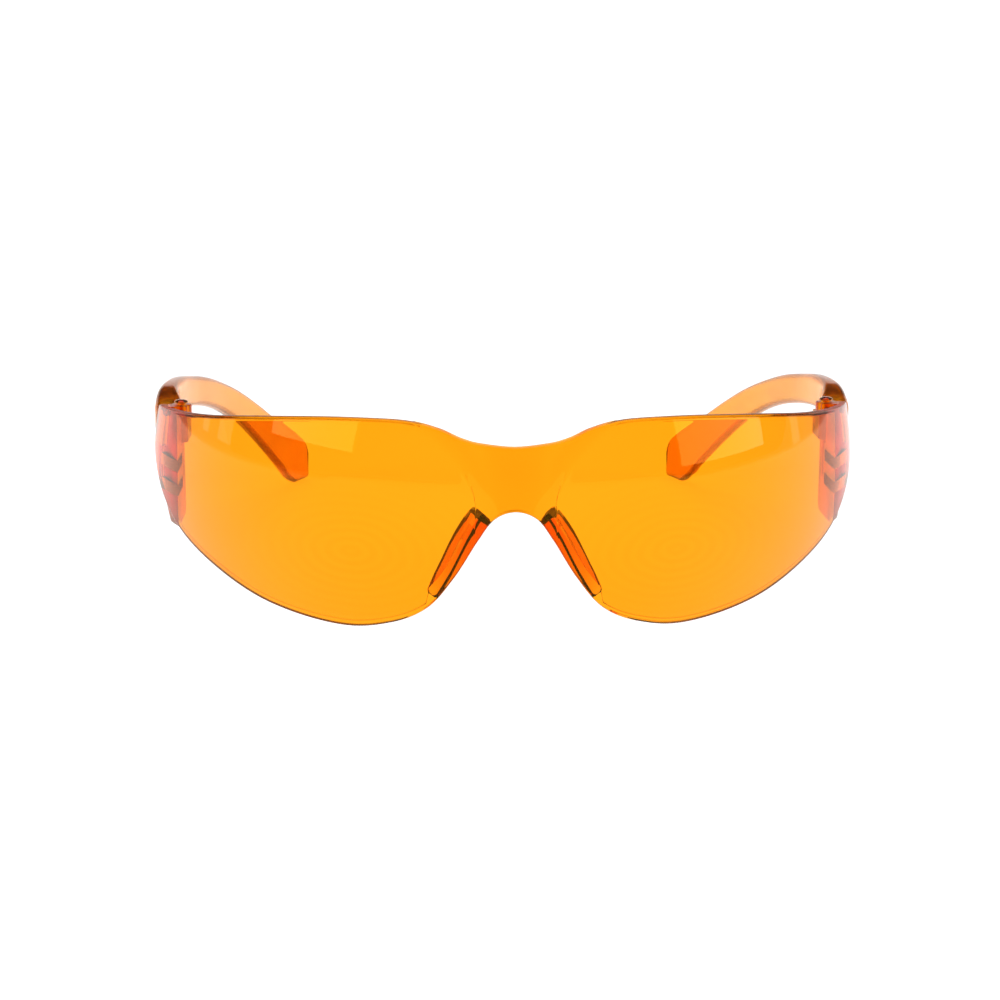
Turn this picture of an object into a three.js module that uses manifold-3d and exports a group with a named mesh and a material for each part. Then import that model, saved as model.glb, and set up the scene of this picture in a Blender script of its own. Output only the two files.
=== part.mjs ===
// One-lens wraparound safety glasses, standing on a table: the lower edge of the lens and the two
// temple tips touch z = 0. Millimetres, +Z up, the front of the lens faces -Y, the left-hand side
// seen from the front is -X. The origin is under the middle of the whole object.
import * as THREE from 'three';
import { mergeVertices } from 'three/addons/utils/BufferGeometryUtils.js';
import Module from 'manifold-3d';

const wasm = await Module();
wasm.setup();

// Lens: a curved shell that is an ellipse from above and an arc from the side
const LENS_HALF_WIDTH = 72.6;
const LENS_HALF_DEPTH = 66;
const LENS_SIDE_RADIUS = 70;
const LENS_MIDDLE_HEIGHT = 22;
const LENS_WALL = 2;
const LENS_ROWS = 9;
const LENS_COLUMNS = 44;

// Upper and lower edges of one half of the lens: turn about the middle in degrees, height
const LENS_TOP_EDGE = [
  [0, 36.1], [5.3, 36.8], [8.4, 37.9], [12, 39.7], [17, 40.9], [24, 41], [33, 40.5],
  [45, 39.2], [56, 37.7], [65, 36.7], [74, 35.9], [82, 35.2],
];
const LENS_LOWER_EDGE = [
  [0, 24.3], [3.2, 22.9], [5.7, 18.7], [9.4, 11.2], [13.8, 4.9], [20, 1.4], [29, 0],
  [43, 2.6], [56, 8], [66.5, 13.3], [75, 19.6], [82, 27],
];

// Nose rests: thin walls that run back and outward from the nose cut
const NOSE_WALL = 2;
const NOSE_ROOT = 0.9;
const NOSE_STEP = 0.23;
const NOSE_FROM = 1.25;
const NOSE_TO = 3.65;
const NOSE_LONG = 9;
const NOSE_SHORT = 2.4;
const NOSE_TAPER = 1.4;
const NOSE_LEAN = 0.17;
const NOSE_AHEAD = 0.11;
const NOSE_STEPS = 12;

// Hinge: a vertical pin behind each end of the lens
const HINGE_X = 65.8;
const HINGE_Y = 52.5;
const PIN_RADIUS = 0.7;
const PIN_HEAD_RADIUS = 1.4;
const PIN_HEAD_HEIGHT = 0.7;
const HOLE_RADIUS = 1;
const KNUCKLE_RADIUS = 1.8;
const EAR_RADIUS = 2.1;
const CLEARANCE = 0.4;
const PIN_HEAD_GAP = 0.3;
const PIN_HEAD_TOP = 0.6;
const PIN_BEVEL = 0.2;
const ROUND_SIDES = 32;
const PIN_SIDES = 24;

// End block: the thick wedge inside each end of the lens, which carries the hinge
const BLOCK_INNER_X = 64.5;
const BLOCK_FRONT_Y = 34;
const BLOCK_REAR_Y = 57;
const BLOCK_SPREAD = 2;
const BLOCK_LOW = 12.7;
const BLOCK_HIGH = 35.4;
const BLOCK_CORNER = 2;
const TRIM_POINT = [65.3, 57.2, 13];
const TRIM_OUTWARD = [0.88, 0.27, -0.39];
const TRIM_SIZE = 60;
const WALL_SHARE = 0.53;
const EAR_WEB = 1;
const INSIDE_SIDES = 120;
const INSIDE_LEVELS = 8;
const MARGIN = 5;
const SEAT_HEIGHT = 27.8;
const EAR_LOW = 33.7;
const EAR_HIGH = 36;
const PIN_HOLE_FLOOR = 20.4;
const SLOT_HEIGHTS = [25.4, 20.6];
const SLOT_HEIGHT = 2.3;
const SLOT_END_Y = 50.2;
const CORNER_STEPS = 8;

// Temple: lines along the upper and lower edge of its outer face, and its thickness
const TEMPLE_ROOT_WIDTH = 3.5;
const TEMPLE_START_Y = 57.7;
const TEMPLE_ROOT_LAP = 1.5;
const TEMPLE_UPPER_LINE = [
  [71.3, TEMPLE_START_Y, 33.8], [71.9, 62, 34.9], [71.6, 70, 36.8], [70, 80, 36.9],
  [67.9, 90, 35.5], [65.4, 100, 33.6], [62.6, 110, 30.8], [59.3, 120, 27.2], [55.6, 130, 22.5],
  [51.4, 140, 16.9], [49.3, 144.6, 14.3], [47.1, 149.2, 11.5], [45.6, 152.3, 9.2],
  [44.8, 153.6, 6.6],
];
const TEMPLE_LOWER_LINE = [
  [71.3, TEMPLE_START_Y, 28.2], [71.9, 62, 28.8], [71.6, 70, 30.3], [70, 80, 30],
  [67.9, 90, 28.9], [65.4, 100, 26.9], [62.6, 110, 23.5], [59.3, 120, 18.6], [55.6, 130, 12.1],
  [51.4, 140, 4.7], [49.6, 144.2, 1.6], [47.9, 147.6, 0], [46.2, 150.8, 0], [44.8, 153.6, 0],
];
const TEMPLE_THICKNESS = [
  6.5, 6.1, 4.2, 3.4, 3, 2.9, 2.8, 2.7, 2.6, 2.5, 2.45, 2.4, 2.3, 2.2,
];
const TEMPLE_STEPS = 39;
const TEMPLE_CHAMFER = 0.7;

const LENS_FINISH = { color: 0xffa000, roughness: 0.05, metalness: 0 };
const TEMPLE_FINISH = { color: 0xf09628, roughness: 0.12, metalness: 0 };
const PIN_FINISH = { color: 0xc06a10, roughness: 0.2, metalness: 0 };

function toSolid(geometry) {
  const bare = geometry.index ? geometry.clone() : geometry;
  bare.deleteAttribute('normal');
  bare.deleteAttribute('uv');
  const merged = mergeVertices(bare, 1e-4);
  return new wasm.Manifold(new wasm.Mesh({
    numProp: 3,
    vertProperties: new Float32Array(merged.attributes.position.array),
    triVerts: new Uint32Array(merged.index.array),
  }));
}

function toGeometry(solid) {
  const mesh = solid.getMesh();
  const geometry = new THREE.BufferGeometry();
  geometry.setAttribute('position', new THREE.BufferAttribute(mesh.vertProperties, 3));
  geometry.setIndex(new THREE.BufferAttribute(mesh.triVerts, 1));
  geometry.computeVertexNormals();
  return geometry;
}

// A closed body through rings of points. Each ring runs up one side of the section and down the
// other, so that point i faces point last - i, and the two ends close with a ladder between them.
function skin(rings) {
  const count = rings[0].length;
  const positions = rings.flat().flatMap((point) => [point.x, point.y, point.z]);
  const index = [];
  const quad = (a, b, c, d) => index.push(a, b, c, a, c, d);
  for (let ring = 0; ring < rings.length - 1; ring += 1) {
    for (let i = 0; i < count; i += 1) {
      const next = (i + 1) % count;
      const here = ring * count;
      quad(here + i, here + next, here + count + next, here + count + i);
    }
  }
  const last = (rings.length - 1) * count;
  for (let i = 0; i < count / 2 - 1; i += 1) {
    const across = count - 1 - i;
    quad(i, across, across - 1, i + 1);
    quad(last + i, last + i + 1, last + across - 1, last + across);
  }
  const geometry = new THREE.BufferGeometry();
  geometry.setAttribute('position', new THREE.Float32BufferAttribute(positions, 3));
  geometry.setIndex(signedVolume(positions, index) < 0 ? index.reverse() : index);
  return geometry;
}

function signedVolume(positions, index) {
  const corner = (i) => new THREE.Vector3().fromArray(positions, 3 * index[i]);
  let total = 0;
  for (let i = 0; i < index.length; i += 3) {
    total += corner(i).dot(corner(i + 1).cross(corner(i + 2)));
  }
  return total / 6;
}

// A point of the lens surface, moved inward through the wall by depth
function lensPoint(turn, height, depth) {
  const drop = (height - LENS_MIDDLE_HEIGHT) ** 2 / (2 * LENS_SIDE_RADIUS);
  const slope = (height - LENS_MIDDLE_HEIGHT) / LENS_SIDE_RADIUS;
  const halfWidth = LENS_HALF_WIDTH - drop;
  const halfDepth = LENS_HALF_DEPTH - drop;
  const sine = Math.sin(turn);
  const cosine = Math.cos(turn);
  const outward = new THREE.Vector3(
    sine / halfWidth,
    -cosine / halfDepth,
    (sine ** 2 / halfWidth + cosine ** 2 / halfDepth) * slope,
  ).normalize();
  return new THREE.Vector3(halfWidth * sine, LENS_HALF_DEPTH - halfDepth * cosine, height)
    .addScaledVector(outward, -depth);
}

function edgeCurve(points) {
  return new THREE.SplineCurve(points.map(([degrees, height]) => (
    new THREE.Vector2(THREE.MathUtils.degToRad(degrees), height)
  )));
}

const topEdge = edgeCurve(LENS_TOP_EDGE);
const lowerEdge = edgeCurve(LENS_LOWER_EDGE);

function lensColumn(along) {
  const top = topEdge.getPoint(Math.abs(along));
  const low = lowerEdge.getPoint(Math.abs(along));
  const side = Math.sign(along);
  const rows = Array.from({ length: LENS_ROWS + 1 }, (_, row) => (
    new THREE.Vector2().lerpVectors(low, top, row / LENS_ROWS)
  ));
  const outer = rows.map((at) => lensPoint(side * at.x, at.y, 0));
  const inner = rows.map((at) => lensPoint(side * at.x, at.y, LENS_WALL));
  return [...outer, ...inner.reverse()];
}

function lensShell() {
  const rings = [];
  for (let column = -LENS_COLUMNS; column <= LENS_COLUMNS; column += 1) {
    rings.push(lensColumn(column / LENS_COLUMNS));
  }
  return toSolid(skin(rings));
}

// Everything inside the lens surface at the given depth, as one solid
function insideLens(depth) {
  const rings = [];
  const low = BLOCK_LOW - MARGIN;
  const high = EAR_HIGH + MARGIN;
  for (let level = 0; level <= INSIDE_LEVELS; level += 1) {
    const height = THREE.MathUtils.lerp(low, high, level / INSIDE_LEVELS);
    rings.push(Array.from({ length: INSIDE_SIDES }, (_, i) => (
      lensPoint(((i + 0.5) / INSIDE_SIDES) * 2 * Math.PI, height, depth)
    )));
  }
  return toSolid(skin(rings));
}

function noseRest() {
  const rings = [];
  const span = LENS_LOWER_EDGE.length - 1;
  const ahead = NOSE_AHEAD / span;
  const back = new THREE.Vector3(NOSE_LEAN, 1, 0).normalize();
  for (let step = 0; step <= NOSE_STEPS; step += 1) {
    const share = step / NOSE_STEPS;
    const along = THREE.MathUtils.lerp(NOSE_FROM, NOSE_TO, share) / span;
    const at = lowerEdge.getPoint(along);
    const next = lowerEdge.getPoint(along + ahead);
    const edge = lensPoint(at.x, at.y, NOSE_ROOT);
    const down = lensPoint(next.x, next.y, NOSE_ROOT).sub(edge).normalize();
    const away = new THREE.Vector3().crossVectors(back, down).normalize();
    away.multiplyScalar(Math.sign(away.x));
    const front = edge.addScaledVector(away, NOSE_STEP);
    away.multiplyScalar(NOSE_WALL);
    const reach = THREE.MathUtils.lerp(NOSE_LONG, NOSE_SHORT, share ** NOSE_TAPER);
    const rear = front.clone().addScaledVector(back, reach);
    rings.push([front, rear, rear.clone().add(away), front.clone().add(away)]);
  }
  return toSolid(skin(rings));
}

function box(fromX, toX, fromY, toY, fromZ, toZ) {
  const geometry = new THREE.BoxGeometry(toX - fromX, toY - fromY, toZ - fromZ);
  geometry.translate((fromX + toX) / 2, (fromY + toY) / 2, (fromZ + toZ) / 2);
  return toSolid(geometry);
}

function upright(radius, fromZ, toZ) {
  const geometry = new THREE.CylinderGeometry(radius, radius, toZ - fromZ, ROUND_SIDES);
  geometry.rotateX(Math.PI / 2);
  geometry.translate(HINGE_X, HINGE_Y, (fromZ + toZ) / 2);
  return toSolid(geometry);
}

// Side outline of the block, drawn rear to front and extruded outward from its inner face
function blockPrism() {
  const outline = new THREE.Shape();
  outline.moveTo(BLOCK_FRONT_Y, BLOCK_HIGH);
  outline.lineTo(BLOCK_FRONT_Y, BLOCK_LOW);
  outline.lineTo(BLOCK_REAR_Y - BLOCK_CORNER, BLOCK_LOW);
  outline.absarc(
    BLOCK_REAR_Y - BLOCK_CORNER,
    BLOCK_LOW + BLOCK_CORNER,
    BLOCK_CORNER,
    -Math.PI / 2,
    0,
    false,
  );
  outline.lineTo(BLOCK_REAR_Y, BLOCK_HIGH);
  outline.closePath();
  const depth = LENS_HALF_WIDTH - BLOCK_INNER_X;
  const geometry = new THREE.ExtrudeGeometry(outline, {
    depth,
    bevelEnabled: false,
    curveSegments: CORNER_STEPS,
  });
  geometry.rotateY(Math.PI / 2);
  geometry.rotateX(Math.PI / 2);
  geometry.translate(0, -BLOCK_FRONT_Y, 0);
  geometry.rotateZ(THREE.MathUtils.degToRad(-BLOCK_SPREAD));
  geometry.translate(BLOCK_INNER_X, BLOCK_FRONT_Y, 0);
  return toSolid(geometry);
}

// The space below and behind the block, past a slanting face that follows the lens edge
function trimSpace() {
  const geometry = new THREE.BoxGeometry(TRIM_SIZE, TRIM_SIZE, TRIM_SIZE);
  geometry.translate(0, 0, TRIM_SIZE / 2);
  const outward = new THREE.Vector3(...TRIM_OUTWARD).normalize();
  const turn = new THREE.Quaternion().setFromUnitVectors(new THREE.Vector3(0, 0, 1), outward);
  geometry.applyQuaternion(turn);
  geometry.translate(...TRIM_POINT);
  return toSolid(geometry);
}

function endBlock() {
  const nearX = BLOCK_INNER_X - MARGIN;
  const farX = LENS_HALF_WIDTH + MARGIN;
  const seatY = HINGE_Y - EAR_RADIUS - CLEARANCE;
  const seatTop = BLOCK_HIGH + MARGIN;
  const seat = box(nearX, farX, seatY, BLOCK_REAR_Y + MARGIN, SEAT_HEIGHT, seatTop);
  let block = blockPrism().subtract(trimSpace()).subtract(seat);
  for (const height of SLOT_HEIGHTS) {
    const low = height - SLOT_HEIGHT / 2;
    block = block.subtract(box(nearX, farX, 0, SLOT_END_Y, low, low + SLOT_HEIGHT));
  }
  const webY = HINGE_Y - EAR_RADIUS - EAR_WEB;
  const web = box(BLOCK_INNER_X, farX, webY, HINGE_Y, EAR_LOW, EAR_HIGH);
  const ear = web.add(upright(EAR_RADIUS, EAR_LOW, EAR_HIGH));
  return block.add(ear).intersect(insideLens(LENS_WALL * WALL_SHARE));
}

function mirrored(solid) {
  return solid.mirror([1, 0, 0]);
}

function lens() {
  const side = noseRest().add(endBlock());
  const hole = upright(HOLE_RADIUS, PIN_HOLE_FLOOR, EAR_HIGH + MARGIN);
  return lensShell()
    .add(side)
    .add(mirrored(side))
    .subtract(hole)
    .subtract(mirrored(hole));
}

function templeArm() {
  const vectors = (line) => line.map((at) => new THREE.Vector3(...at));
  const upper = new THREE.CatmullRomCurve3(vectors(TEMPLE_UPPER_LINE));
  const lower = new THREE.CatmullRomCurve3(vectors(TEMPLE_LOWER_LINE));
  const rings = [];
  for (let step = 0; step <= TEMPLE_STEPS; step += 1) {
    const along = step / TEMPLE_STEPS;
    const high = upper.getPoint(along);
    const low = lower.getPoint(along);
    low.z = Math.max(low.z, 0);
    const heading = upper.getTangent(along);
    const inward = new THREE.Vector3(-heading.y, heading.x, 0).normalize();
    const place = along * (TEMPLE_THICKNESS.length - 1);
    const from = Math.min(Math.floor(place), TEMPLE_THICKNESS.length - 2);
    const thick = THREE.MathUtils.lerp(
      TEMPLE_THICKNESS[from],
      TEMPLE_THICKNESS[from + 1],
      place - from,
    );
    const corner = (base, lift, reach) => base.clone()
      .addScaledVector(inward, reach)
      .add(new THREE.Vector3(0, 0, lift));
    const cut = TEMPLE_CHAMFER;
    rings.push([
      corner(low, 0, cut),
      corner(low, cut, 0),
      corner(high, -cut, 0),
      corner(high, 0, cut),
      corner(high, 0, thick - cut),
      corner(high, -cut, thick),
      corner(low, cut, thick),
      corner(low, 0, thick - cut),
    ]);
  }
  return toSolid(skin(rings));
}

function temple() {
  const low = SEAT_HEIGHT + CLEARANCE;
  const high = EAR_LOW - CLEARANCE;
  const half = TEMPLE_ROOT_WIDTH / 2;
  const rootEnd = TEMPLE_START_Y + TEMPLE_ROOT_LAP;
  const root = box(HINGE_X - half, HINGE_X + half, HINGE_Y, rootEnd, low, high);
  return templeArm()
    .add(root)
    .add(upright(KNUCKLE_RADIUS, low, high))
    .subtract(upright(HOLE_RADIUS, low - MARGIN, high + MARGIN));
}

function hingePin() {
  const floor = PIN_HOLE_FLOOR + CLEARANCE;
  const head = EAR_HIGH + PIN_HEAD_GAP;
  const profile = [
    new THREE.Vector2(0, floor),
    new THREE.Vector2(PIN_RADIUS - PIN_BEVEL, floor),
    new THREE.Vector2(PIN_RADIUS, floor + PIN_BEVEL),
    new THREE.Vector2(PIN_RADIUS, head),
    new THREE.Vector2(PIN_HEAD_RADIUS, head),
    new THREE.Vector2(PIN_HEAD_RADIUS, head + PIN_HEAD_HEIGHT / 3),
    new THREE.Vector2(PIN_HEAD_RADIUS * PIN_HEAD_TOP, head + PIN_HEAD_HEIGHT),
    new THREE.Vector2(0, head + PIN_HEAD_HEIGHT),
  ];
  const geometry = new THREE.LatheGeometry(profile, PIN_SIDES);
  geometry.rotateX(Math.PI / 2);
  geometry.translate(HINGE_X, HINGE_Y, 0);
  return toSolid(geometry);
}

const glasses = new THREE.Group();
const rightTemple = temple();
const rightPin = hingePin();
const pieces = [
  ['lens', lens(), LENS_FINISH],
  ['temple_right', rightTemple, TEMPLE_FINISH],
  ['temple_left', mirrored(rightTemple), TEMPLE_FINISH],
  ['hinge_pin_right', rightPin, PIN_FINISH],
  ['hinge_pin_left', mirrored(rightPin), PIN_FINISH],
];
for (const [name, solid, finish] of pieces) {
  const mesh = new THREE.Mesh(toGeometry(solid), new THREE.MeshStandardMaterial(finish));
  mesh.name = name;
  glasses.add(mesh);
}

// The whole object is moved so that the origin is under the middle of its box
const size = new THREE.Box3().setFromObject(glasses, true);
const middle = size.getCenter(new THREE.Vector3());
glasses.position.set(-middle.x, -middle.y, -size.min.z);
glasses.updateMatrixWorld(true);

export default glasses;
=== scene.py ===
import math

import bmesh
import bpy
from mathutils import Matrix, Quaternion, Vector
from mathutils.bvhtree import BVHTree
from mathutils.interpolate import poly_3d_calc


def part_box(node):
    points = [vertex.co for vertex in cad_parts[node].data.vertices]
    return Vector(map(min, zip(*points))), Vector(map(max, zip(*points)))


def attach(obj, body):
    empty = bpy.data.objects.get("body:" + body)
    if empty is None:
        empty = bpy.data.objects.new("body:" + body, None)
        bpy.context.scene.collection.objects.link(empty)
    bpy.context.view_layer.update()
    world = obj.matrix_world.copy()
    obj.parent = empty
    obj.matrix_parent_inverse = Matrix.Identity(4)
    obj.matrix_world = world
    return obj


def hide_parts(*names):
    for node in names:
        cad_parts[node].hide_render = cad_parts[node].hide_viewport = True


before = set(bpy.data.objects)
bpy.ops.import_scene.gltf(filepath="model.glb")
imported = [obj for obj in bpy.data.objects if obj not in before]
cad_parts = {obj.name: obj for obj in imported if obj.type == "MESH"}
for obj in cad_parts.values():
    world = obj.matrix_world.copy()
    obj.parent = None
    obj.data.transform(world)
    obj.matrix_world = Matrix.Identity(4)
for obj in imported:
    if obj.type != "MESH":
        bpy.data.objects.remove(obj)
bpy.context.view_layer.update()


# ---------------------------------------------------------------------------------------------
# Lens. One clear orange polycarbonate moulding, 2 mm thick, polished and hard coated. The shell
# is an ellipse from above and an arc from the side, with a rounded rim all the way round.
# The nose rests and the two thick end blocks are part of the same moulding.

MM = 0.001
lens_half_width = 72.6
lens_half_depth = 66
lens_side_radius = 70
lens_middle_height = 22
lens_wall = 2
lens_rim_radius = 0.45
lens_rows = 30
lens_columns = 132
upper_edge = [(0, 36.1), (5.3, 36.8), (8.4, 37.9), (12, 39.7), (17, 40.9), (24, 41), (33, 40.5),
              (45, 39.2), (56, 37.7), (65, 36.7), (74, 35.9), (82, 35.2)]
lower_edge = [(0, 24.3), (3.2, 22.9), (5.7, 18.7), (9.4, 11.2), (13.8, 4.9), (20, 1.4), (29, 0),
              (43, 2.6), (56, 8), (66.5, 13.3), (75, 19.6), (82, 27)]
spans = len(lower_edge) - 1

# The mould's parting step runs just inside the outline and round the outside of the nose rests
step_depth = 0.2
step_inset = 0.8
step_at_nose = 2.35
bridge_dip = 0.11
bridge_shoulder = 0.06
bridge_dome = 0.3
bridge_pad = 0.14

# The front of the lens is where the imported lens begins, less its arc's drop at the nose arch
nose_arch_drop = (lower_edge[0][1] - lens_middle_height) ** 2 / (2 * lens_side_radius)
front_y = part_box("lens")[0].y / MM - nose_arch_drop


def ramp(value, start, end):
    share = min(max((value - start) / (end - start), 0), 1)
    return share * share * (3 - 2 * share)


def smooth_through(points, along):
    """The point at along, 0 to 1, of a smooth curve through the points."""
    place = min(max(along, 0), 1) * (len(points) - 1)
    index = min(int(place), len(points) - 2)
    t = place - index
    before, start, end, after = (
        Vector(points[min(max(index + step, 0), len(points) - 1)]) for step in (-1, 0, 1, 2)
    )
    rise, fall = (end - before) / 2, (after - start) / 2
    return (
        (2 * t**3 - 3 * t**2 + 1) * start
        + (t**3 - 2 * t**2 + t) * rise
        + (3 * t**2 - 2 * t**3) * end
        + (t**3 - t**2) * fall
    )


def edge_at(points, along):
    """The point of an edge at along, -1 to 1, with its left half the mirror of its right."""
    mirrored = [(-turn, height) for turn, height in reversed(points[1:])]
    return smooth_through(mirrored + points, (1 + along) / 2)


def lens_normal(turn, height):
    slope = (height - lens_middle_height) / lens_side_radius
    drop = (height - lens_middle_height) ** 2 / (2 * lens_side_radius)
    wide, deep = lens_half_width - drop, lens_half_depth - drop
    sine, cosine = math.sin(turn), math.cos(turn)
    lean = (sine**2 / wide + cosine**2 / deep) * slope
    return Vector((sine / wide, -cosine / deep, lean)).normalized()


def lens_point(turn, height, depth):
    """A point of the lens surface in millimetres, moved inward through the wall by depth."""
    drop = (height - lens_middle_height) ** 2 / (2 * lens_side_radius)
    wide, deep = lens_half_width - drop, lens_half_depth - drop
    on_face = Vector((wide * math.sin(turn), lens_half_depth - deep * math.cos(turn), height))
    return on_face - lens_normal(turn, height) * depth


def place(point):
    """From the millimetres of the lens, front at y = 0, to the metres of the frame."""
    return Vector((point.x, point.y + front_y, point.z)) * MM


def rounding(radius, steps=4):
    """Distance in and depth of the points of a rounded edge, from the rim to the face."""
    turns = [math.pi / 2 * (1 - step / steps) for step in range(steps + 1)]
    return [(radius * (1 - math.sin(a)), radius * (1 - math.cos(a))) for a in turns]


def wall_faces(turn, height, from_edge, inset):
    """Depths of the outer and inner face. The bridge dips in at the front and is thicker."""
    reach = 7.8 + 0.05 * max(height - 25, 0) ** 2
    across = abs(math.sin(turn)) * lens_half_width
    crown = max(1 - (across / reach) ** 2, 0)
    on_bridge = ramp(reach - across, -0.08, 0.08)
    flank = math.exp(-((across / reach - 0.72) / 0.2) ** 2)
    dip = bridge_dip * max(height - 21, 0) * crown**1.5 + 0.03 * on_bridge
    dip -= bridge_shoulder * max(height - 25, 0) * flank
    step = step_depth * (1 - on_bridge) * (1 - ramp(from_edge, inset - 0.1, inset + 0.1))
    return dip, lens_wall + dip + bridge_dome * crown + bridge_pad * on_bridge - step


def lens_ring(along, squeeze):
    low = edge_at(lower_edge, abs(along))
    high = edge_at(upper_edge, abs(along))
    side = -1 if along < 0 else 1
    tall = high.y - low.y
    at_nose = ramp(abs(along) * spans, 0.3, 0.8) * (1 - ramp(abs(along) * spans, 3.9, 4.05))
    low_inset = step_inset + (step_at_nose - step_inset) * at_nose
    edge = rounding(lens_rim_radius)
    near = [lens_rim_radius + 0.13, low_inset - 0.12, low_inset, low_inset + 0.12]
    far = [step_inset + 0.12, step_inset, step_inset - 0.12, lens_rim_radius + 0.13]
    first, last = low_inset + 0.35, tall - step_inset - 0.35
    levels = edge + [(level, 0) for level in near]
    levels += [(first + (last - first) * row / lens_rows, 0) for row in range(lens_rows + 1)]
    levels += [(tall - level, 0) for level in far]
    levels += [(tall - level, depth) for level, depth in reversed(edge)]
    outer, inner = [], []
    for level, depth in levels:
        turn = side * math.radians(low.x + (high.x - low.x) * level / tall)
        height = low.y + level
        inset = low_inset if level < tall / 2 else step_inset
        front, back = wall_faces(turn, height, min(level, tall - level), inset)
        depth = max(depth, squeeze)
        lift = lens_normal(turn, height).z * (1 - ramp(tall - level, 0, 4))
        for face, in_by in ((outer, front + depth), (inner, back - depth)):
            face.append(place(lens_point(turn, height + in_by * lift, in_by)))
    return outer + inner[::-1]


def face_out(mesh):
    shape = bmesh.new()
    shape.from_mesh(mesh)
    bmesh.ops.recalc_face_normals(shape, faces=shape.faces)
    shape.to_mesh(mesh)
    shape.free()


def add_piece(name, points, faces):
    mesh = bpy.data.meshes.new(name)
    mesh.from_pydata(points, [], faces)
    face_out(mesh)
    piece = bpy.data.objects.new(name, mesh)
    bpy.context.scene.collection.objects.link(piece)
    return piece


def skin(name, rings):
    """A closed mesh through rings that run up one side of a section and down the other."""
    count = len(rings[0])
    last = (len(rings) - 1) * count
    faces = []
    for here in range(0, last, count):
        for i in range(count):
            after = (i + 1) % count
            faces.append((here + i, here + after, here + count + after, here + count + i))
    for i in range(count // 2 - 1):
        across = count - 1 - i
        for base in (0, last):
            faces.append((base + i, base + i + 1, base + across - 1, base + across))
    return add_piece(name, [point for ring in rings for point in ring], faces)


def combine(piece, other, operation):
    """Joins, cuts or meets piece with other, which is then gone."""
    step = piece.modifiers.new(operation, "BOOLEAN")
    step.operation, step.solver, step.object = operation, "MANIFOLD", other
    graph = bpy.context.evaluated_depsgraph_get()
    whole = bpy.data.meshes.new_from_object(piece.evaluated_get(graph))
    piece.modifiers.clear()
    piece.data = whole
    bpy.data.objects.remove(other)


def soften(piece, offset):
    """Rounds the sharp edges of a piece, in millimetres."""
    shape = bmesh.new()
    shape.from_mesh(piece.data)
    sharp = [edge for edge in shape.edges if edge.calc_face_angle() > math.radians(30)]
    bmesh.ops.bevel(shape, geom=sharp, offset=offset * MM, segments=3, profile=0.5,
                    affect="EDGES")
    shape.to_mesh(piece.data)
    shape.free()


def prism(name, outline, low, high, bevel=0, side=1):
    """A block with an outline in x and y, in millimetres, from one height to another."""
    count = len(outline)
    points = [Vector((side * x, y, z)) for z in (low, high) for x, y in outline]
    faces = [tuple(range(count)), tuple(range(count, 2 * count))]
    for i in range(count):
        after = (i + 1) % count
        faces.append((i, after, count + after, count + i))
    piece = add_piece(name, [place(point) for point in points], faces)
    if bevel:
        soften(piece, bevel)
    return piece


def circle(x, y, radius, sides=64):
    return [(x + radius * math.cos(2 * math.pi * i / sides),
             y + radius * math.sin(2 * math.pi * i / sides)) for i in range(sides)]


def settle_shading(piece, skins):
    """Smooth shading that follows the skins a piece was joined from, with crisp edges."""
    mesh = piece.data
    mesh.shade_smooth()
    mesh.set_sharp_from_angle(angle=math.radians(32))
    trees = [(BVHTree.FromPolygons([v.co for v in old.vertices],
                                   [p.vertices for p in old.polygons]), old) for old in skins]
    normals = [Vector((0, 0, 0))] * len(mesh.loops)
    for face in mesh.polygons:
        for corner in face.loop_indices:
            at = mesh.vertices[mesh.loops[corner].vertex_index].co
            for tree, old in trees:
                hit, _, index, _ = tree.find_nearest(at, 0.01 * MM)
                if index is None:
                    continue
                around = [old.vertices[v] for v in old.polygons[index].vertices]
                shares = poly_3d_calc([v.co for v in around], hit)
                normal = sum((v.normal * share for v, share in zip(around, shares)), Vector())
                if normal.normalized().dot(face.normal) > 0.93:
                    normals[corner] = normal.normalized()
                    break
    mesh.normals_split_custom_set(normals)


rim_steps = rounding(lens_rim_radius)
end_turns = [(reach / 66, squeeze) for reach, squeeze in rim_steps]
columns = [column / lens_columns for column in range(lens_columns)]
columns += [along + part / lens_columns for along in columns if 0.08 < along < 0.37
            for part in (0.25, 0.5, 0.75)]
columns.sort()
stations = [(-along, 0) for along in columns[:0:-1]] + [(along, 0) for along in columns]
last_turn = 1 - 1 / lens_columns
right_end = [(1 - reach, squeeze) for reach, squeeze in reversed(end_turns)
             if 1 - reach > last_turn]
stations = [(-along, squeeze) for along, squeeze in reversed(right_end)] + stations + right_end
lens = skin("lens_moulding", [lens_ring(along, squeeze) for along, squeeze in stations])
lens_skin = lens.data.copy()

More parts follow.
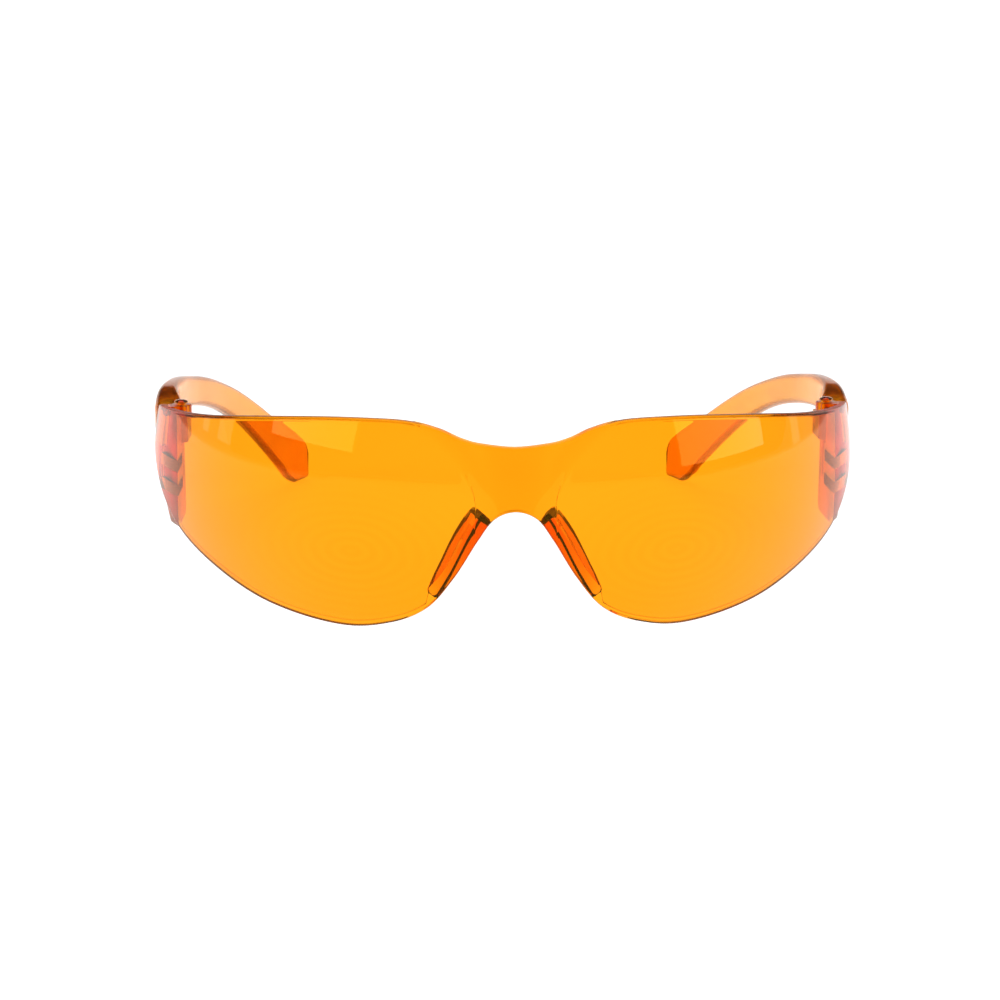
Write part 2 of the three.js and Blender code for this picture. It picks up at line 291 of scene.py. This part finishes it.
# Nose rests: thin walls that run back from the nose cut, with a rounded rear edge
rest_wall = 2.1
rest_from, rest_length = 1.12, 2.53
rest_reach_top, rest_reach_low = 9, 2.4
rest_round = 0.6
rest_stations = 48
rest_lean = Vector((0.17, 1, 0)).normalized()
rest_skins = []
for side in (-1, 1):
    rings = []
    for station in range(rest_stations + 1):
        share = station / rest_stations
        along = (rest_from + rest_length * share) / spans
        at, ahead = edge_at(lower_edge, along), edge_at(lower_edge, along + 0.01)
        root = lens_point(math.radians(at.x), at.y, 0.9)
        down = (lens_point(math.radians(ahead.x), ahead.y, 0.9) - root).normalized()
        away = rest_lean.cross(down).normalized()
        away *= math.copysign(1, away.x)
        front = root - away * 0.03
        from_end = min(share, 1 - share, 0.04) / 0.04
        end_round = 0.3 * (1 - math.sqrt(1 - (1 - from_end) ** 2))
        reach = rest_reach_top + (rest_reach_low - rest_reach_top) * share**1.4 - end_round
        inner = [(end_round, reach * 0.92 * step / 8) for step in range(8)]
        for angle in range(15, 91, 15):
            turn = math.radians(angle)
            inner.append((end_round + rest_round * (1 - math.cos(turn)),
                          reach - rest_round + rest_round * math.sin(turn)))
        flare = 0.9 * math.sin(math.pi * share) ** 0.7
        outer = [(rest_wall - across + flare * ramp(back, reach - 2.5, reach - 0.6), back)
                 for across, back in inner]
        ring = [front + away * across + rest_lean * back for across, back in inner + outer[::-1]]
        rings.append([place(Vector((side * point.x, point.y, point.z))) for point in ring])
    ring_points = len(rings[0])
    rest = skin("nose_rest", rings)
    rest_skins.append(rest.data.copy())
    combine(lens, rest, "UNION")

# End blocks: thick wedges inside the ends, cored by two slots and cut down to seat the temple
hinge_x, hinge_y = 65.8, 52.5
block_inner_x, block_front_y, block_rear_y = 64.5, 34, 57
block_low, block_high, block_spread = 12.7, 35.4, math.radians(2)
block_corner = 2
seat_height, ear_low, ear_high = 27.8, 33.7, 36
slot_heights, slot_half, slot_rear_y = (25.4, 20.6), 1.15, 50.2
near_x, far_x, above = 59, lens_half_width + 5, 41
trim_reach, trim_corner = 30, Vector((65.3, 57.2, 13))
hole_low = 20.4
inside_sides, inside_levels = 240, 12
for side in (-1, 1):
    corner = [(block_rear_y - block_corner + block_corner * math.sin(math.radians(a)),
               block_low + block_corner - block_corner * math.cos(math.radians(a)))
              for a in range(0, 91, 10)]
    outline = [(block_front_y, block_high), (block_front_y, block_low)] + corner
    outline.append((block_rear_y, block_high))
    points = []
    for across in (0, lens_half_width - block_inner_x):
        for y, z in outline:
            x = block_inner_x + across * math.cos(block_spread)
            x += (y - block_front_y) * math.sin(block_spread)
            y -= across * math.sin(block_spread)
            points.append(place(Vector((side * x, y, z))))
    count = len(outline)
    faces = [tuple(range(count)), tuple(range(count, 2 * count))]
    faces += [(i, (i + 1) % count, count + (i + 1) % count, count + i) for i in range(count)]
    block = add_piece("end_block", points, faces)
    soften(block, 0.3)

    outward = Vector((side * 0.88, 0.27, -0.39)).normalized()
    turn = Vector((0, 0, 1)).rotation_difference(outward).to_matrix().to_4x4()
    square = [(x * trim_reach, y * trim_reach) for x, y in ((-1, -1), (1, -1), (1, 1), (-1, 1))]
    trim = prism("trim", square, 0, 2 * trim_reach)
    shift = Matrix.Translation(place(Vector((side * trim_corner.x, *trim_corner.yz))))
    trim.data.transform(shift @ turn @ Matrix.Translation(-place(Vector())))
    face_out(trim.data)
    combine(block, trim, "DIFFERENCE")
    seat = [(near_x, 50), (far_x, 50), (far_x, 62), (near_x, 62)]
    combine(block, prism("seat", seat, seat_height, above, side=side), "DIFFERENCE")
    slot = [(near_x, 0), (far_x, 0), (far_x, slot_rear_y), (near_x, slot_rear_y)]
    for height in slot_heights:
        combine(block, prism("slot", slot, height - slot_half, height + slot_half, side=side),
                "DIFFERENCE")
    web = [(block_inner_x, 49.4), (far_x, 49.4), (far_x, hinge_y), (block_inner_x, hinge_y)]
    combine(block, prism("web", web, ear_low, ear_high, side=side), "UNION")
    ear = prism("ear", circle(hinge_x, hinge_y, 2.1), ear_low, ear_high, bevel=0.2, side=side)
    combine(block, ear, "UNION")
    rings = [[place(lens_point(2 * math.pi * (i + 0.5) / inside_sides,
                               7.7 + 33.3 * level / inside_levels, 1.06))
              for i in range(inside_sides)] for level in range(inside_levels + 1)]
    combine(block, skin("inside", rings), "INTERSECT")
    combine(lens, block, "UNION")
for side in (-1, 1):
    hole = prism("pin_hole", circle(hinge_x, hinge_y, 1), hole_low, above, side=side)
    combine(lens, hole, "DIFFERENCE")
settle_shading(lens, [lens_skin, *rest_skins])


def value_input(group, name, default, low=0.0, high=10.0):
    socket = group.interface.new_socket(name, in_out="INPUT", socket_type="NodeSocketFloat")
    socket.default_value, socket.min_value, socket.max_value = default, low, high


# Moulded polish, shared by the lens, the temples and the pins: faint wipe smears and fine dust
# in the polish, slight waviness from the mould, a tint that is not quite even, and duller rims
# and cored faces where the face attribute "moulded_edge" marks them.
polish = bpy.data.node_groups.new("Moulded polish", "ShaderNodeTree")
value_input(polish, "Base Roughness", 0.02, 0, 1)
value_input(polish, "Smears", 0.03, 0, 1)
value_input(polish, "Dust", 0.1, 0, 1)
value_input(polish, "Waviness", 0.02, 0, 1)
polish.interface.new_socket("Roughness", in_out="OUTPUT", socket_type="NodeSocketFloat")
polish.interface.new_socket("Normal", in_out="OUTPUT", socket_type="NodeSocketVector")
polish.interface.new_socket("Tint", in_out="OUTPUT", socket_type="NodeSocketColor")


def add_node(tree, kind, **settings):
    node = tree.nodes.new(kind)
    for name, value in settings.items():
        if hasattr(node, name):
            setattr(node, name, value)
        else:
            node.inputs[name.replace("_", " ")].default_value = value
    return node


inputs = add_node(polish, "NodeGroupInput")
outputs = add_node(polish, "NodeGroupOutput")
link = polish.links.new
where = add_node(polish, "ShaderNodeTexCoord")
stretch = add_node(polish, "ShaderNodeMapping", Scale=(1.0, 1.0, 2.6))
link(where.outputs["Object"], stretch.inputs["Vector"])
smear = add_node(polish, "ShaderNodeTexNoise", Scale=55.0, Detail=4.0, Roughness=0.55,
                 Distortion=1.2)
link(stretch.outputs["Vector"], smear.inputs["Vector"])
smear_mask = add_node(polish, "ShaderNodeMapRange", From_Min=0.48, From_Max=0.72)
link(smear.outputs["Fac"], smear_mask.inputs["Value"])
smear_amount = add_node(polish, "ShaderNodeMath", operation="MULTIPLY")
link(smear_mask.outputs["Result"], smear_amount.inputs[0])
link(inputs.outputs["Smears"], smear_amount.inputs[1])
speck = add_node(polish, "ShaderNodeTexVoronoi", Scale=330.0, Randomness=1.0)
link(where.outputs["Object"], speck.inputs["Vector"])
speck_mask = add_node(polish, "ShaderNodeMapRange", From_Min=0.06, From_Max=0.02)
link(speck.outputs["Distance"], speck_mask.inputs["Value"])
speck_amount = add_node(polish, "ShaderNodeMath", operation="MULTIPLY")
link(speck_mask.outputs["Result"], speck_amount.inputs[0])
link(inputs.outputs["Dust"], speck_amount.inputs[1])
with_smears = add_node(polish, "ShaderNodeMath", operation="ADD")
link(inputs.outputs["Base Roughness"], with_smears.inputs[0])
link(smear_amount.outputs[0], with_smears.inputs[1])
with_dust = add_node(polish, "ShaderNodeMath", operation="ADD", use_clamp=True)
link(with_smears.outputs[0], with_dust.inputs[0])
link(speck_amount.outputs[0], with_dust.inputs[1])
edge = add_node(polish, "ShaderNodeAttribute", attribute_name="moulded_edge")
edge_dull = add_node(polish, "ShaderNodeMapRange", To_Max=0.45)
link(edge.outputs["Fac"], edge_dull.inputs["Value"])
with_edges = add_node(polish, "ShaderNodeMath", operation="ADD")
link(with_dust.outputs[0], with_edges.inputs[0])
link(edge_dull.outputs["Result"], with_edges.inputs[1])
link(with_edges.outputs[0], outputs.inputs["Roughness"])
wave = add_node(polish, "ShaderNodeTexNoise", Scale=38.0, Detail=1.0)
link(where.outputs["Object"], wave.inputs["Vector"])
wavy = add_node(polish, "ShaderNodeBump", Distance=0.0006)
link(inputs.outputs["Waviness"], wavy.inputs["Strength"])
link(wave.outputs["Fac"], wavy.inputs["Height"])
link(wavy.outputs["Normal"], outputs.inputs["Normal"])
uneven = add_node(polish, "ShaderNodeTexNoise", Scale=14.0, Detail=2.0)
link(where.outputs["Object"], uneven.inputs["Vector"])
tint = add_node(polish, "ShaderNodeMix", data_type="RGBA")
tint.inputs["A"].default_value = (0.985, 0.965, 0.95, 1)
tint.inputs["B"].default_value = (1, 1, 1, 1)
link(uneven.outputs["Fac"], tint.inputs["Factor"])
link(tint.outputs["Result"], outputs.inputs["Tint"])


def clear_plastic(name, surface, absorbed, density, sheen, **polish_settings):
    """Polycarbonate: refracts, with a tinted hard coat and more colour over each millimetre."""
    material = bpy.data.materials.new(name)
    material.use_nodes = True
    tree = material.node_tree
    shader = tree.nodes["Principled BSDF"]
    shader.inputs["Transmission Weight"].default_value = 1
    shader.inputs["IOR"].default_value = 1.585
    shader.inputs["Specular Tint"].default_value = sheen[:3] + (1,)
    shader.inputs["Specular IOR Level"].default_value = sheen[3]
    finish = tree.nodes.new("ShaderNodeGroup")
    finish.node_tree = polish
    for socket, value in polish_settings.items():
        finish.inputs[socket.replace("_", " ")].default_value = value
    tree.links.new(finish.outputs["Roughness"], shader.inputs["Roughness"])
    coat = add_node(tree, "ShaderNodeMix", data_type="RGBA", blend_type="MULTIPLY")
    coat.inputs["Factor"].default_value = 1
    coat.inputs["B"].default_value = surface
    tree.links.new(finish.outputs["Tint"], coat.inputs["A"])
    tree.links.new(coat.outputs["Result"], shader.inputs["Base Color"])
    tree.links.new(finish.outputs["Normal"], shader.inputs["Normal"])
    depth = tree.nodes.new("ShaderNodeVolumeAbsorption")
    depth.inputs["Color"].default_value = absorbed
    depth.inputs["Density"].default_value = density
    tree.links.new(depth.outputs["Volume"], tree.nodes["Material Output"].inputs["Volume"])
    return material, finish, shader


lens_plastic, lens_finish, lens_shader = clear_plastic(
    "lens_polycarbonate", (1, 0.56, 0.035, 1), (0.99, 0.737, 0.0, 1), 950, (1, 0.45, 0.04, 0.5),
    Base_Roughness=0.008, Smears=0.012, Dust=0.03, Waviness=0.01)

# Flow rings: faint ellipses in the lower half of each side, left by the way the mould filled
tree = lens_plastic.node_tree
where = add_node(tree, "ShaderNodeTexCoord")
apart = add_node(tree, "ShaderNodeSeparateXYZ")
tree.links.new(where.outputs["Object"], apart.inputs["Vector"])
mirrored = add_node(tree, "ShaderNodeMath", operation="ABSOLUTE")
tree.links.new(apart.outputs["X"], mirrored.inputs[0])
from_middle = add_node(tree, "ShaderNodeMath", operation="SUBTRACT")
from_middle.inputs[1].default_value = 0.031
tree.links.new(mirrored.outputs[0], from_middle.inputs[0])
from_height = add_node(tree, "ShaderNodeMath", operation="SUBTRACT")
from_height.inputs[1].default_value = 0.0155
tree.links.new(apart.outputs["Z"], from_height.inputs[0])
flattened = add_node(tree, "ShaderNodeMath", operation="MULTIPLY")
flattened.inputs[1].default_value = 1.7
tree.links.new(from_height.outputs[0], flattened.inputs[0])
around = add_node(tree, "ShaderNodeCombineXYZ")
tree.links.new(from_middle.outputs[0], around.inputs["X"])
tree.links.new(flattened.outputs[0], around.inputs["Y"])
rings = add_node(tree, "ShaderNodeTexWave", wave_type="RINGS", rings_direction="SPHERICAL",
                 Scale=110.0, Distortion=1.5, Detail=1.0)
tree.links.new(around.outputs["Vector"], rings.inputs["Vector"])
distance = add_node(tree, "ShaderNodeVectorMath", operation="LENGTH")
tree.links.new(around.outputs["Vector"], distance.inputs[0])
fade = add_node(tree, "ShaderNodeMapRange", From_Min=0.030, From_Max=0.006)
tree.links.new(distance.outputs["Value"], fade.inputs["Value"])
ring_strength = add_node(tree, "ShaderNodeMath", operation="MULTIPLY")
ring_strength.inputs[1].default_value = 0.004
tree.links.new(fade.outputs["Result"], ring_strength.inputs[0])
ring_bump = add_node(tree, "ShaderNodeBump", Distance=0.0006)
tree.links.new(ring_strength.outputs[0], ring_bump.inputs["Strength"])
tree.links.new(rings.outputs["Fac"], ring_bump.inputs["Height"])
tree.links.new(lens_finish.outputs["Normal"], ring_bump.inputs["Normal"])
tree.links.new(ring_bump.outputs["Normal"], lens_shader.inputs["Normal"])
ring_tint = add_node(tree, "ShaderNodeMix", data_type="RGBA", blend_type="MULTIPLY")
ring_tint.inputs["B"].default_value = (1, 0.965, 0.9, 1)
ring_fade = add_node(tree, "ShaderNodeMath", operation="MULTIPLY")
tree.links.new(rings.outputs["Fac"], ring_fade.inputs[0])
tree.links.new(fade.outputs["Result"], ring_fade.inputs[1])
tree.links.new(ring_fade.outputs[0], ring_tint.inputs["Factor"])
lens_coat = lens_shader.inputs["Base Color"].links[0].from_node
tree.links.new(lens_coat.outputs["Result"], ring_tint.inputs["A"])
tree.links.new(ring_tint.outputs["Result"], lens_shader.inputs["Base Color"])

lens.data.materials.clear()
lens.data.materials.append(lens_plastic)

# Painted light facet, for cored and cut faces whose dark or milky look in clear plastic is
# painted shade and painted reflection: a mottled painted colour and an uneven dullness.
facet = bpy.data.node_groups.new("Painted light facet", "ShaderNodeTree")
for socket in ("Deep", "Pale"):
    facet.interface.new_socket(socket, in_out="INPUT", socket_type="NodeSocketColor")
facet.interface.new_socket("Colour", in_out="OUTPUT", socket_type="NodeSocketColor")
facet.interface.new_socket("Roughness", in_out="OUTPUT", socket_type="NodeSocketFloat")
facet_inputs = add_node(facet, "NodeGroupInput")
facet_outputs = add_node(facet, "NodeGroupOutput")
spots = add_node(facet, "ShaderNodeTexNoise", Scale=700.0, Detail=3.0)
dullness = add_node(facet, "ShaderNodeMapRange", To_Min=0.35, To_Max=0.6)
facet.links.new(spots.outputs["Fac"], dullness.inputs["Value"])
facet.links.new(dullness.outputs["Result"], facet_outputs.inputs["Roughness"])
shade = add_node(facet, "ShaderNodeMix", data_type="RGBA")
facet.links.new(facet_inputs.outputs["Deep"], shade.inputs["A"])
facet.links.new(facet_inputs.outputs["Pale"], shade.inputs["B"])
facet.links.new(spots.outputs["Fac"], shade.inputs["Factor"])
facet.links.new(shade.outputs["Result"], facet_outputs.inputs["Colour"])


def painted_light_facet(name, deep, pale):
    """A nearly opaque material for cored and cut faces, its colour painted shade and painted
    reflection.
    """
    material = bpy.data.materials.new(name)
    material.use_nodes = True
    tree = material.node_tree
    shader = tree.nodes["Principled BSDF"]
    finish = tree.nodes.new("ShaderNodeGroup")
    finish.node_tree = facet
    finish.inputs["Deep"].default_value = deep
    finish.inputs["Pale"].default_value = pale
    tree.links.new(finish.outputs["Colour"], shader.inputs["Base Color"])
    tree.links.new(finish.outputs["Roughness"], shader.inputs["Roughness"])
    return material


# The dark faces are painted: the walls of the slots get painted shade over a dull cored finish,
# and the top ends of the nose rests and a narrow band round their rear edges get a painted dark
# reflection.
lens.data.materials.append(
    painted_light_facet("slot_wall_painted_shade", (0.06, 0.012, 0.03, 1), (0.11, 0.022, 0.05, 1)))
lens.data.materials.append(
    painted_light_facet("rest_painted_reflection", (0.006, 0.002, 0.001, 1), (0.014, 0.004, 0.002, 1)))
slot_shade_index, rest_reflection_index = 1, 2
# Rings and points of the nose rests that take the painted dark reflection
rest_top_rings, rear_rings, rear_points = 5, range(10, 44), range(14, 20)

lens_tree = BVHTree.FromPolygons([v.co for v in lens_skin.vertices],
                                 [p.vertices for p in lens_skin.polygons])
rest_trees = [BVHTree.FromPolygons([v.co for v in old.vertices],
                                   [p.vertices for p in old.polygons]) for old in rest_skins]
edges = [0.0] * len(lens.data.polygons)
close = 0.01
for face in lens.data.polygons:
    middle = face.center
    x, y, z = middle.x / MM, middle.y / MM - front_y, middle.z / MM
    drop = (z - lens_middle_height) ** 2 / (2 * lens_side_radius)
    turn = math.atan2(x / (lens_half_width - drop),
                      (lens_half_depth - y) / (lens_half_depth - drop))
    if lens_tree.find_nearest(middle, 0.02 * MM)[2] is not None:
        edges[face.index] = float(abs(lens_normal(turn, z).dot(face.normal)) < 0.8)
    elif abs(x) > 60:
        edges[face.index] = 0.7
    # Slot walls and slot ends take the painted shade
    for level in slot_heights:
        wall = abs(face.normal.z) > 0.95 and abs(abs(z - level) - slot_half) < close
        end = abs(z - level) < slot_half + close and abs(y - slot_rear_y) < close
        if abs(x) > 60 and (wall or end):
            face.material_index = slot_shade_index
    # Top ends and the rear band of the nose rests take the painted dark reflection
    for rest_tree in rest_trees:
        found = rest_tree.find_nearest(middle, close * MM)[2]
        if found is None:
            continue
        ring, around = divmod(found, ring_points)
        top_end = ring >= rest_stations and found % 2 == 0
        rear_band = ring in rear_rings and around in rear_points
        if top_end or ring < rest_top_rings or rear_band:
            face.material_index = rest_reflection_index
moulded = lens.data.attributes.new("moulded_edge", "FLOAT", "FACE")
moulded.data.foreach_set("value", edges)
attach(lens, "front")
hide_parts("lens")


# ---------------------------------------------------------------------------------------------
# Hinge pins. Each is a turned amber plastic pin with a low domed head, dropped down through the
# lens's ear and the temple's knuckle into a blind hole in the end block.

pin_radius, pin_head_radius = 0.7, 1.4
pin_foot, pin_head_low, pin_head_high = 20.8, 36.3, 37
pin_sides = 48
pin_plastic, _, _ = clear_plastic(
    "pin_plastic", (0.98, 0.6, 0.1, 1), (0.97, 0.6, 0.08, 1), 900, (1, 0.8, 0.5, 0.5),
    Base_Roughness=0.08, Smears=0.05, Dust=0.05, Waviness=0.01)
profile = [(0, pin_foot), (pin_radius - 0.2, pin_foot), (pin_radius - 0.06, pin_foot + 0.06),
           (pin_radius, pin_foot + 0.2), (pin_radius, pin_head_low),
           (pin_head_radius - 0.06, pin_head_low), (pin_head_radius, pin_head_low + 0.06)]
dome = pin_head_high - pin_head_low - 0.2
profile += [(pin_head_radius * math.cos(math.radians(angle)),
             pin_head_low + 0.2 + dome * math.sin(math.radians(angle)))
            for angle in range(0, 81, 10)]
profile.append((0, pin_head_high))
for side, label in ((-1, "left"), (1, "right")):
    points, faces = [], []
    for radius, height in profile:
        for spoke in range(pin_sides if radius else 1):
            turn = 2 * math.pi * spoke / pin_sides
            at = (side * hinge_x + radius * math.cos(turn), hinge_y + radius * math.sin(turn))
            points.append(place(Vector((*at, height))))
    foot, top = 0, len(points) - 1
    levels = len(profile) - 2
    for spoke in range(pin_sides):
        after = (spoke + 1) % pin_sides
        faces.append((foot, 1 + spoke, 1 + after))
        for level in range(levels - 1):
            here = 1 + level * pin_sides
            faces.append((here + spoke, here + pin_sides + spoke, here + pin_sides + after,
                          here + after))
        faces.append((top, top - pin_sides + spoke, top - pin_sides + after))
    pin = add_piece("pin_" + label, points, faces)
    settle_shading(pin, [])
    pin.data.materials.append(pin_plastic)
    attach(pin, "front")
    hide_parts("hinge_pin_" + label)


# ---------------------------------------------------------------------------------------------
# Temples. Two clear orange polycarbonate mouldings that hook down behind the ears. Each has
# rounded edges, a thick front end, and a root with a knuckle that turns on the hinge pin.

outer_top = [(71.3, 57.7, 33.8), (71.9, 62, 34.9), (71.6, 70, 36.8), (70, 80, 36.9),
             (67.9, 90, 35.5), (65.4, 100, 33.6), (62.6, 110, 30.8), (59.3, 120, 27.2),
             (55.6, 130, 22.5), (51.4, 140, 16.9), (49.3, 144.6, 14.3), (47.1, 149.2, 11.5),
             (45.6, 152.3, 9.2), (44.8, 153.6, 6.6)]
outer_low = [(71.3, 57.7, 28.2), (71.9, 62, 28.8), (71.6, 70, 30.3), (70, 80, 30),
             (67.9, 90, 28.9), (65.4, 100, 27), (62.6, 110, 24), (59.3, 120, 19.4),
             (55.6, 130, 13), (51.4, 140, 5.4), (49.6, 144.2, 1.9), (47.9, 147.6, 0),
             (46.2, 150.8, 0), (44.8, 153.6, 0)]
thicknesses = [(t,) * 2 for t in (6.5, 6.1, 4.2, 3.4, 3, 2.9, 2.8, 2.7, 2.6, 2.5, 2.45, 2.4,
                                  2.3, 2.2)]
temple_steps = 168
temple_edge = 1.25
knuckle_low, knuckle_high, knuckle_radius = 28.2, 33.3, 1.8
temple_plastic, _, _ = clear_plastic(
    "temple_polycarbonate", (0.9, 0.37, 0.01, 1), (0.985, 0.8, 0.0, 1), 200,
    (0.8, 0.5, 0.1, 0.4),
    Base_Roughness=0.16, Smears=0.08, Dust=0.06, Waviness=0.04)
# The forward faces of each temple's thick front end are an opaque pink-orange, a painted
# reflection of the studio light
temple_end_painted_reflection = painted_light_facet("temple_end_painted_reflection", (0.62, 0.2, 0.07, 1), (0.78, 0.3, 0.12, 1))
front_end_y = 58.3


def temple_ring(along, inset):
    """A rounded oblong across the temple, made smaller all round by inset."""
    high, low = smooth_through(outer_top, along), smooth_through(outer_low, along)
    low.z = max(low.z, 0)
    ahead, behind = (smooth_through(outer_top, min(max(along + step, 0), 1))
                     for step in (0.004, -0.004))
    heading = ahead - behind
    inward = Vector((-heading.y, heading.x, 0)).normalized()
    thick = smooth_through(thicknesses, along).x
    tall = (high - low).length
    radius = min(temple_edge, thick / 2 - 0.05)
    up_outer, up_inner = [], []
    rows = [(inset + reach, inset + depth) for reach, depth in rounding(radius - inset * 0.5)]
    span = tall - 2 * rows[-1][0]
    rows += [(rows[-1][0] + span * row / 8, inset) for row in range(1, 8)]
    rows += [(tall - level, depth) for level, depth in reversed(rows[:5])]
    for level, depth in rows:
        at = low.lerp(high, level / tall)
        up_outer.append(at + inward * depth)
        up_inner.append(at + inward * (thick - depth))
    return up_outer + up_inner[::-1]


for side, label in ((-1, "left"), (1, "right")):
    front_stations = [(reach / 60, depth) for reach, depth in rounding(0.5)]
    tip_stations = [(1 - reach / 20, depth) for reach, depth in reversed(rounding(0.7))]
    stations = front_stations
    stations += [(step / temple_steps, 0) for step in range(1, temple_steps)
                 if front_stations[-1][0] < step / temple_steps < tip_stations[0][0]]
    stations += tip_stations
    rings = [[place(Vector((side * point.x, point.y, point.z)))
              for point in temple_ring(along, inset)] for along, inset in stations]
    temple = skin("temple_arm_" + label, rings)
    arm_skin = temple.data.copy()
    root = [(64.05, hinge_y), (67.55, hinge_y), (67.55, 59.2), (64.05, 59.2)]
    combine(temple, prism("root", root, knuckle_low, knuckle_high, bevel=0.25, side=side),
            "UNION")
    knuckle = prism("knuckle", circle(hinge_x, hinge_y, knuckle_radius), knuckle_low,
                    knuckle_high, bevel=0.2, side=side)
    combine(temple, knuckle, "UNION")
    hole = prism("hole", circle(hinge_x, hinge_y, 1), knuckle_low - 2, knuckle_high + 2,
                 side=side)
    combine(temple, hole, "DIFFERENCE")
    settle_shading(temple, [arm_skin])
    temple.data.materials.clear()
    temple.data.materials.append(temple_plastic)
    temple.data.materials.append(temple_end_painted_reflection)
    # Forward-facing faces of the front end take the painted reflection
    for face in temple.data.polygons:
        if face.center.y / MM - front_y < front_end_y and face.normal.y < -0.4:
            face.material_index = 1
    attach(temple, label + "_temple")
    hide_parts("temple_" + label)


# ---------------------------------------------------------------------------------------------
# Studio. A wide white light table that sweeps up behind the glasses, a dark room in front, and
# a softbox on each side whose windows show in the upper half of the lens.

table_side, table_reach, table_lift = 1.15, 7.0, math.radians(1.2)
sweep_start, sweep_height = 3.2, 3.0
spokes = 120
distances = [0, 0.6, table_side, 1.6, 2.2, sweep_start, 4, 5, 6, table_reach]
points, faces, beyond = [Vector((0, 0, -0.0003))], [], []
for distance in distances[1:]:
    for spoke in range(spokes):
        turn = 2 * math.pi * spoke / spokes
        toward_back = ramp(-math.cos(turn), 0.05, 0.45)
        toward_front = ramp(math.cos(turn), 0.5, 0.8)
        height = -0.0003
        height += max(distance - table_side, 0) * math.tan(table_lift) * toward_front
        rise = min(max(distance - sweep_start, 0) / (table_reach - sweep_start), 1)
        height += sweep_height * rise**1.5 * toward_back
        points.append(Vector((distance * math.sin(turn), -distance * math.cos(turn), height)))
for spoke in range(spokes):
    after = (spoke + 1) % spokes
    faces.append((0, 1 + spoke, 1 + after))
    beyond.append(0)
    facing = math.cos(2 * math.pi * (spoke + 0.5) / spokes)
    for level in range(len(distances) - 2):
        here = 1 + level * spokes
        faces.append((here + spoke, here + spokes + spoke, here + spokes + after, here + after))
        beyond.append(int(level > 0 and -0.72 < facing < 0.6))
mesh = bpy.data.meshes.new("table")
mesh.from_pydata(points, [], faces)
table = bpy.data.objects.new("table", mesh)
bpy.context.scene.collection.objects.link(table)
table_white = bpy.data.materials.new("table_white")
table_white.use_nodes = True
table_shader = table_white.node_tree.nodes["Principled BSDF"]
table_shader.inputs["Base Color"].default_value = (0.9, 0.9, 0.9, 1)
table_shader.inputs["Roughness"].default_value = 0.9
table_shader.inputs["Specular IOR Level"].default_value = 0
table_shader.inputs["Emission Color"].default_value = (1, 1, 1, 1)
table_shader.inputs["Emission Strength"].default_value = 1.0
mesh.materials.append(table_white)
floor_grey = table_white.copy()
floor_grey.name = "floor_past_the_table"
floor_grey.node_tree.nodes["Principled BSDF"].inputs["Emission Strength"].default_value = 0.35
mesh.materials.append(floor_grey)
mesh.polygons.foreach_set("material_index", beyond)

world = bpy.data.worlds.new("dark_room")
world.use_nodes = True
room = world.node_tree
upward = add_node(room, "ShaderNodeTexCoord")
apart = add_node(room, "ShaderNodeSeparateXYZ")
dusk = add_node(room, "ShaderNodeValToRGB")
dusk.color_ramp.elements[0].position = 0.06
dusk.color_ramp.elements[0].color = (0.16, 0.15, 0.15, 1)
dusk.color_ramp.elements[1].position = 0.4
dusk.color_ramp.elements[1].color = (0.012, 0.012, 0.014, 1)
room.links.new(upward.outputs["Generated"], apart.inputs["Vector"])
room.links.new(apart.outputs["Z"], dusk.inputs["Fac"])
room.links.new(dusk.outputs["Color"], room.nodes["Background"].inputs["Color"])
bpy.context.scene.world = world


def softbox(name, turn, rise, distance, width, height, radiance):
    """A rectangular lamp seen from the lens at turn degrees round from the front, facing it."""
    lamp = bpy.data.lights.new(name, "AREA")
    lamp.shape = "RECTANGLE"
    lamp.size, lamp.size_y = width, height
    lamp.energy = radiance * math.pi * width * height
    box = bpy.data.objects.new(name, lamp)
    angle, lift = math.radians(turn), math.radians(rise)
    away = Vector((math.sin(angle) * math.cos(lift), -math.cos(angle) * math.cos(lift),
                   math.sin(lift)))
    box.location = Vector((0, -0.05, 0.03)) + away * distance
    box.rotation_mode = "QUATERNION"
    box.rotation_quaternion = (-away).to_track_quat("-Z", "Y")
    bpy.context.scene.collection.objects.link(box)


softbox("softbox_right", 70, 11.5, 1.6, 0.95, 0.52, 3.4)
softbox("softbox_right_edge", 103.5, 8, 1.6, 0.12, 0.52, 0.9)
softbox("softbox_left", -62.5, 16, 1.6, 0.86, 0.46, 3.4)
softbox("softbox_left_edge", -98.5, 9, 1.6, 0.2, 0.46, 1.1)
softbox("softbox_left_far", -109.5, 9, 1.6, 0.1, 0.46, 0.9)
softbox("softbox_top", 180, 70, 2.2, 1.6, 1.6, 1.2)

camera_data = bpy.data.cameras.new("camera")
camera_data.lens = 108.86
camera_data.sensor_width = 36
camera_data.clip_start, camera_data.clip_end = 0.01, 100
camera = bpy.data.objects.new("camera", camera_data)
camera.location = (-0.02511, -0.6313, 0.14481)
camera.rotation_mode = "QUATERNION"
looking = Vector((0.0389, 0.9774, -0.2079)).to_track_quat("-Z", "Y")
camera.rotation_quaternion = looking @ Quaternion((0, 0, 1), math.radians(0.16))
bpy.context.scene.collection.objects.link(camera)
scene = bpy.context.scene
scene.camera = camera
scene.view_settings.view_transform = "Standard"
scene.view_settings.look = "None"
